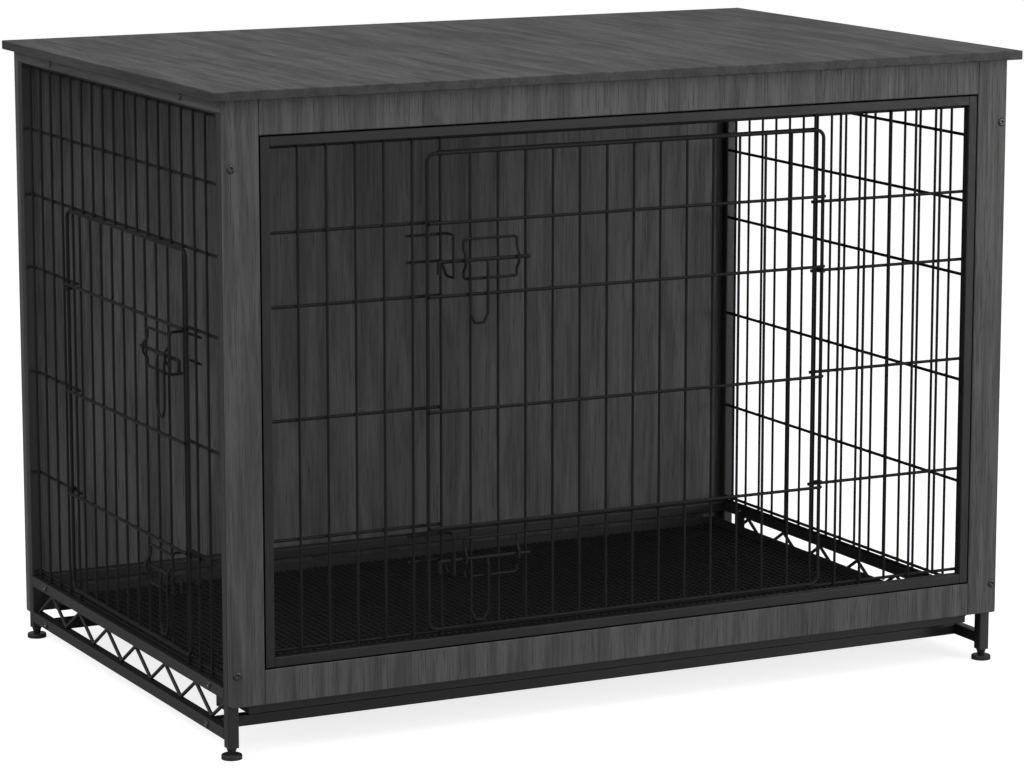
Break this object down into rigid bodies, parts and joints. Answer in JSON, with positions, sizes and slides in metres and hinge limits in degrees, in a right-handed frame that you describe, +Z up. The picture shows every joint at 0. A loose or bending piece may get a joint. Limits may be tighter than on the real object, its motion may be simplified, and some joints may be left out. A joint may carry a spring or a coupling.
{
  "type": "dog crate",
  "caption": "Furniture-style dog crate: wooden top, front frame and back on a steel base, wire panels, latched front and side doors and a slide-out tray.",
  "frame": {"origin": "on the floor, under the middle of the tabletop", "axes": "+X along the length to the viewer's right, the front doorway faces -Y, +Z up"},
  "size_m": [0.97, 0.63, 0.6985],
  "materials": {
    "wood_top": "charcoal stain, satin",
    "wood_frame": "charcoal stain, satin",
    "wood_back": "charcoal stain, satin",
    "tube_steel": "black powder coat",
    "wire_steel": "black powder coat",
    "mesh_steel": "black powder coat",
    "screw_steel": "black oxide",
    "foot_plastic": "moulded, matte",
    "plug_plastic": "moulded, matte",
    "tray_plastic": "moulded, matte"
  },
  "bodies": {
    "crate": {"back_panel": "wood_back", "back_panel_screws": "screw_steel", "bracket_screws": "screw_steel", "cross_bar_back": "tube_steel", "cross_bar_front": "tube_steel", "cross_bar_plugs": "plug_plastic", "cross_bar_screws": "screw_steel", "front_hinge_sleeves": "wire_steel", "front_keepers": "wire_steel", "front_rail_bottom": "wood_frame", "front_rail_dowels": "wood_frame", "front_rail_top": "wood_frame", "front_stile_left": "wood_frame", "front_stile_right": "wood_frame", "front_trim_bottom": "tube_steel", "front_trim_left": "tube_steel", "front_trim_right": "tube_steel", "front_trim_top": "tube_steel", "front_wire_panel": "wire_steel", "header_screws": "screw_steel", "leg_back_left": "tube_steel", "leg_back_right": "tube_steel", "leg_front_left": "tube_steel", "leg_front_right": "tube_steel", "leg_inserts": "plug_plastic", "rear_floor_rail": "tube_steel", "side_header_left": "wood_frame", "side_header_right": "wood_frame", "side_hinge_sleeves": "wire_steel", "side_keepers": "wire_steel", "side_lower_bar_left": "tube_steel", "side_lower_bar_right": "tube_steel", "side_truss_left": "tube_steel", "side_truss_right": "tube_steel", "side_upper_rail_left": "tube_steel", "side_upper_rail_right": "tube_steel", "side_wire_panel_left": "wire_steel", "side_wire_panel_right": "wire_steel", "stile_screws": "screw_steel", "tabletop": "wood_top", "tabletop_screws": "screw_steel", "top_batten_back": "wood_frame", "top_batten_front": "wood_frame", "top_batten_rear": "wood_frame", "tray_brackets": "tube_steel"},
    "front_door_leaf": {"front_door": "wire_steel", "front_bolt_guides": "wire_steel"},
    "front_bolt_upper": {"front_bolt_upper": "wire_steel"},
    "front_bolt_lower": {"front_bolt_lower": "wire_steel"},
    "side_door_leaf": {"side_door": "wire_steel", "side_bolt_guides": "wire_steel"},
    "side_bolt_upper": {"side_bolt_upper": "wire_steel"},
    "side_bolt_lower": {"side_bolt_lower": "wire_steel"},
    "tray": {"tray": "tray_plastic", "floor_mesh": "mesh_steel"},
    "foot_front_left": {"foot_front_left": "foot_plastic"},
    "foot_front_right": {"foot_front_right": "foot_plastic"},
    "foot_back_left": {"foot_back_left": "foot_plastic"},
    "foot_back_right": {"foot_back_right": "foot_plastic"}
  },
  "joints": [
    {"name": "front_door_hinge", "type": "hinge", "parent": "crate", "child": "front_door_leaf", "pos_m": [0.235, -0.3035, 0.35], "axis": [0, 0, 1], "range_deg": [0, 120]},
    {"name": "side_door_hinge", "type": "hinge", "parent": "crate", "child": "side_door_leaf", "pos_m": [-0.46825, 0.1587, 0.3], "axis": [0, 0, -1], "range_deg": [0, 120]},
    {"name": "tray_slide", "type": "slide", "parent": "crate", "child": "tray", "axis": [0, -1, 0], "range_m": [0, 0.45]},
    {"name": "front_bolt_upper_slide", "type": "slide", "parent": "front_door_leaf", "child": "front_bolt_upper", "axis": [1, 0, 0], "range_m": [0, 0.025]},
    {"name": "side_bolt_upper_slide", "type": "slide", "parent": "side_door_leaf", "child": "side_bolt_upper", "axis": [0, 1, 0], "range_m": [0, 0.025]},
    {"name": "front_bolt_lower_slide", "type": "slide", "parent": "front_door_leaf", "child": "front_bolt_lower", "axis": [1, 0, 0], "range_m": [0, 0.025]},
    {"name": "side_bolt_lower_slide", "type": "slide", "parent": "side_door_leaf", "child": "side_bolt_lower", "axis": [0, 1, 0], "range_m": [0, 0.025]},
    {"name": "foot_front_left_turn", "type": "hinge", "parent": "crate", "child": "foot_front_left", "pos_m": [-0.46455, -0.2884, 0], "axis": [0, 0, 1], "continuous": true},
    {"name": "foot_front_right_turn", "type": "hinge", "parent": "crate", "child": "foot_front_right", "pos_m": [0.46455, -0.2884, 0], "axis": [0, 0, 1], "continuous": true},
    {"name": "foot_back_left_turn", "type": "hinge", "parent": "crate", "child": "foot_back_left", "pos_m": [-0.46455, 0.2978, 0], "axis": [0, 0, 1], "continuous": true},
    {"name": "foot_back_right_turn", "type": "hinge", "parent": "crate", "child": "foot_back_right", "pos_m": [0.46455, 0.2978, 0], "axis": [0, 0, 1], "continuous": true}
  ]
}
